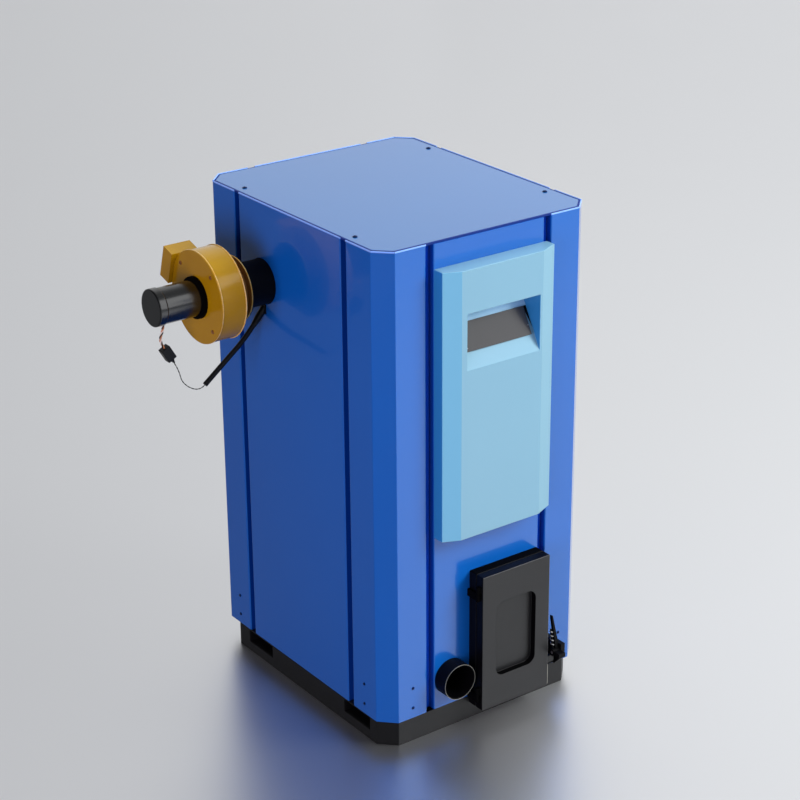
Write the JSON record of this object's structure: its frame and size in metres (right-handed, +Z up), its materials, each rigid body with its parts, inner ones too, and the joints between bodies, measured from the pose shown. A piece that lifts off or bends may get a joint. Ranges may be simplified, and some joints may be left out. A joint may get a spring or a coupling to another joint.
{
  "type": "pellet boiler",
  "caption": "Floor-standing pellet boiler: blue sheet cabinet, moulded display fascia, hinged ash door with lever latch, fuel feed tube and a draught fan on its side flue.",
  "frame": {"origin": "on the floor, under the middle of the cabinet", "axes": "+Z up, the front with the door faces -Y, the side with the fan faces -X"},
  "size_m": [0.8715, 0.829, 1.201],
  "materials": {
    "blue_paint": "glossy",
    "light_blue_plastic": "glossy",
    "grey_display": "satin",
    "black_paint": "satin",
    "ochre_paint": "satin",
    "bright_steel": "satin",
    "boiler_steel": "matte",
    "cast_iron": "matte",
    "black_plastic": "satin",
    "cable_rubber": "satin",
    "rope_seal": "matte"
  },
  "bodies": {
    "cabinet": {"ash_pan": "boiler_steel", "base_rail": "black_paint", "boiler_shell": "boiler_steel", "burner_pot": "cast_iron", "cable_gland": "black_plastic", "controller_box": "black_plastic", "corner_post_front_left": "blue_paint", "corner_post_front_right": "blue_paint", "corner_post_rear_left": "blue_paint", "corner_post_rear_right": "blue_paint", "display_panel": "grey_display", "door_frame": "black_paint", "fan_cable": "cable_rubber", "fan_cover": "ochre_paint", "fan_outlet_box": "ochre_paint", "fan_volute": "ochre_paint", "fire_grate": "cast_iron", "firebox": "boiler_steel", "floor_tray": "boiler_steel", "flow_pipe": "boiler_steel", "flue_tube": "black_paint", "fork_channel_front": "black_paint", "fork_channel_rear": "black_paint", "front_fascia": "light_blue_plastic", "front_panel": "blue_paint", "front_tube": "black_paint", "hinge_brackets": "black_paint", "hinge_pins": "black_paint", "latch_bracket": "black_paint", "latch_pin": "bright_steel", "lead_connector": "black_plastic", "motor_body": "black_paint", "motor_cap": "black_paint", "plinth_skirt": "black_paint", "rear_panel": "blue_paint", "return_pipe": "boiler_steel", "side_panel_left": "blue_paint", "side_panel_right": "blue_paint", "smoke_box": "boiler_steel", "smoke_passes": "boiler_steel", "top_cover": "blue_paint"},
    "door": {"ash_door": "black_paint", "door_catch": "black_paint", "door_seal": "rope_seal", "door_baffle": "boiler_steel"},
    "latch": {"latch_lever": "black_paint", "latch_spring": "bright_steel"},
    "fan_rotor": {"fan_impeller": "bright_steel", "fan_shaft": "bright_steel"}
  },
  "joints": [
    {"name": "door_hinge", "type": "hinge", "parent": "cabinet", "child": "door", "pos_m": [-0.0555, -0.3885, 0.2], "axis": [0, 0, -1], "range_deg": [0, 100]},
    {"name": "latch_pivot", "type": "hinge", "parent": "cabinet", "child": "latch", "pos_m": [0.16775, -0.402, 0.128], "axis": [1, 0, 0], "range_deg": [0, 90]},
    {"name": "fan_spin", "type": "hinge", "parent": "cabinet", "child": "fan_rotor", "pos_m": [-0.45, 0.111, 1.013], "axis": [1, 0, 0], "continuous": true}
  ]
}
